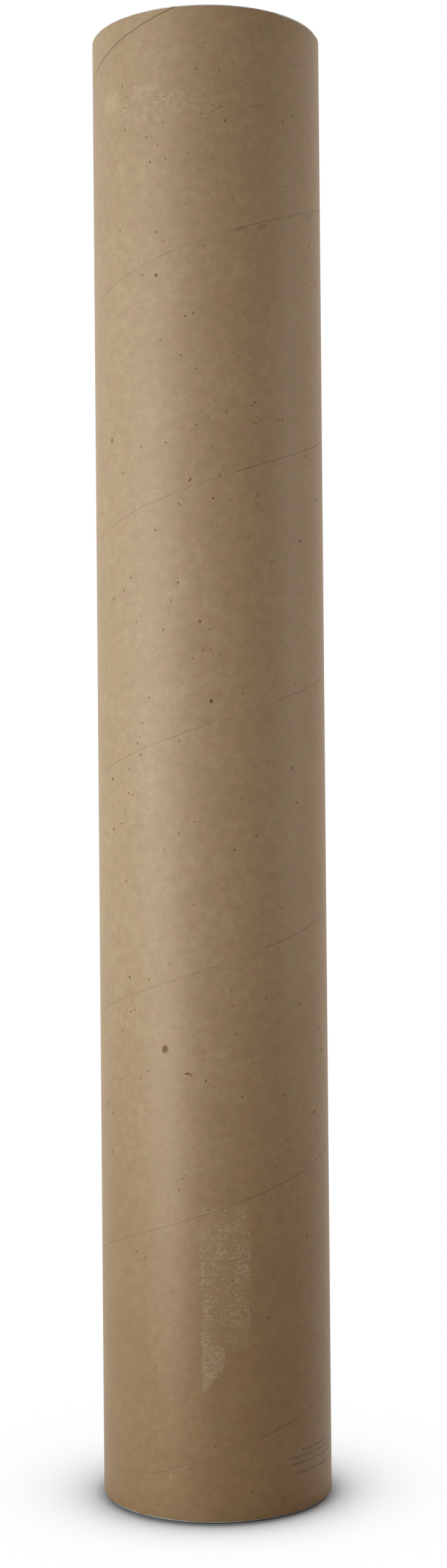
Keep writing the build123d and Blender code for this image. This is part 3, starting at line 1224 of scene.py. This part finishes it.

# %% Paint its shadow near the tube, and turn it white farther out
ground = Finish("pale floor")
# a shadow painted on the floor by the distance from the axis: it fades outwards, longer and fainter behind
# the tube
reach = ground.from_axis()
behind = ground.math("DIVIDE", ground.split(ground.place)[1], reach)
shadow_length = ground.math("MULTIPLY_ADD", behind, 4 * MM, 15 * MM)
outside = ground.math("SUBTRACT", 52 * MM, reach)
fading = ground.math("EXPONENT", ground.math("DIVIDE", outside, shadow_length))
shadow_strength = ground.math("MULTIPLY_ADD", behind, -0.35, 0.85)
shade_share = ground.math("MINIMUM", ground.times(fading, shadow_strength), 1.0)
plain_share = ground.times(seen_as_background(ground.tree), ground.math("SUBTRACT", 1.0, shade_share))
# darker floor colour under the foot: a painted contact shadow
painted_foot_shadow = ground.ramp(reach, 53 * MM, 59 * MM)
ground.use(Base_Color=ground.mix(painted_foot_shadow, linear(138, 138, 138), linear(180, 180, 180)), Roughness=0.9)
white_glow = ground.node("ShaderNodeEmission", {"Color": (1, 1, 1, 1), "Strength": 1.0})
blend = ground.node(
    "ShaderNodeMixShader", {0: plain_share, 1: ground.shader.outputs[0], 2: white_glow.outputs[0]}
)
ground.feed(ground.tree.nodes["Material Output"].inputs["Surface"], blend.outputs[0])
floor.data.materials.append(ground.material)
print("pale floor:", len(ground.tree.nodes), "nodes")

# %% [markdown]
# ## The light
#
# One large soft window stands in front on the left, with a cooler sky beside it, and a warm wall gives a
# little light back from the right. Two small strips show only in the sheen of the paper, so they see to its
# gloss without lighting it. A lamp behind and one above light the sides that the photograph doesn't show.
# A picture of a studio could light it all at once, but lamps can be set one by one. The world is white for
# the camera and for reflections, and all but dark for everything else.

# %% Set the world
world = bpy.context.scene.world or bpy.data.worlds.new("studio")
bpy.context.scene.world = world
world.use_nodes = True
backdrop = world.node_tree
background = backdrop.nodes["Background"]
background.inputs["Color"].default_value = (1, 1, 1, 1)
strength = backdrop.nodes.new("ShaderNodeMapRange")
strength.inputs["To Min"].default_value = 0.05
strength.inputs["To Max"].default_value = 1.0
backdrop.links.new(seen_as_background(backdrop), strength.inputs["Value"])
backdrop.links.new(strength.outputs[0], background.inputs["Strength"])
bpy.context.scene.view_settings.view_transform = "Standard"
print("world: white to look at, and 5 per cent of that as light")


# %% Set the lamps
def lamp(name, angle, away, up, aim, size, watts, colour=(1.0, 1.0, 1.0), sheen_only=False):
    """A soft lamp aimed at a height on the tube's axis, its angle counted from the front to the right."""
    turned = math.radians(angle)
    place = Vector((away * math.sin(turned), -away * math.cos(turned), up))
    bpy.ops.object.light_add(type="AREA", location=place)
    light = bpy.context.object
    light.name = name
    light.rotation_euler = (Vector((0, 0, aim)) - place).to_track_quat("-Z", "Y").to_euler()
    light.data.shape = "RECTANGLE"
    light.data.size, light.data.size_y = size
    light.data.energy = watts
    light.data.color = colour
    light.visible_diffuse = not sheen_only
    print(f"{name}: {watts} W from {angle} degrees")


day, cool, warm, cool_gloss = (0.98, 1.0, 1.03), (0.72, 1.1, 1.32), (1.09, 1.02, 0.96), (0.6, 1.05, 1.1)
lamp("window", angle=-50, away=0.75, up=0.43, aim=0.36, size=(0.5, 0.84), watts=5.15, colour=day)
lamp("sky", angle=-82, away=0.8, up=0.51, aim=0.42, size=(0.9, 0.68), watts=1.72, colour=cool)
lamp("wall", angle=85, away=0.75, up=0.48, aim=0.4, size=(0.3, 0.7), watts=1.88, colour=warm)
lamp("low sheen", angle=-43, away=0.3, up=0.11, aim=0.11, size=(0.1, 0.2), watts=0.33, sheen_only=True)
lamp("cool sheen", angle=-64, away=0.445, up=0.38, aim=0.38, size=(0.1, 0.36), watts=0.32, colour=cool_gloss,
     sheen_only=True)
lamp("back", angle=180, away=0.8, up=0.43, aim=0.36, size=(0.4, 0.84), watts=1.6)
lamp("ceiling", angle=0, away=0.0, up=1.1, aim=0.67, size=(0.1, 0.1), watts=1.1)
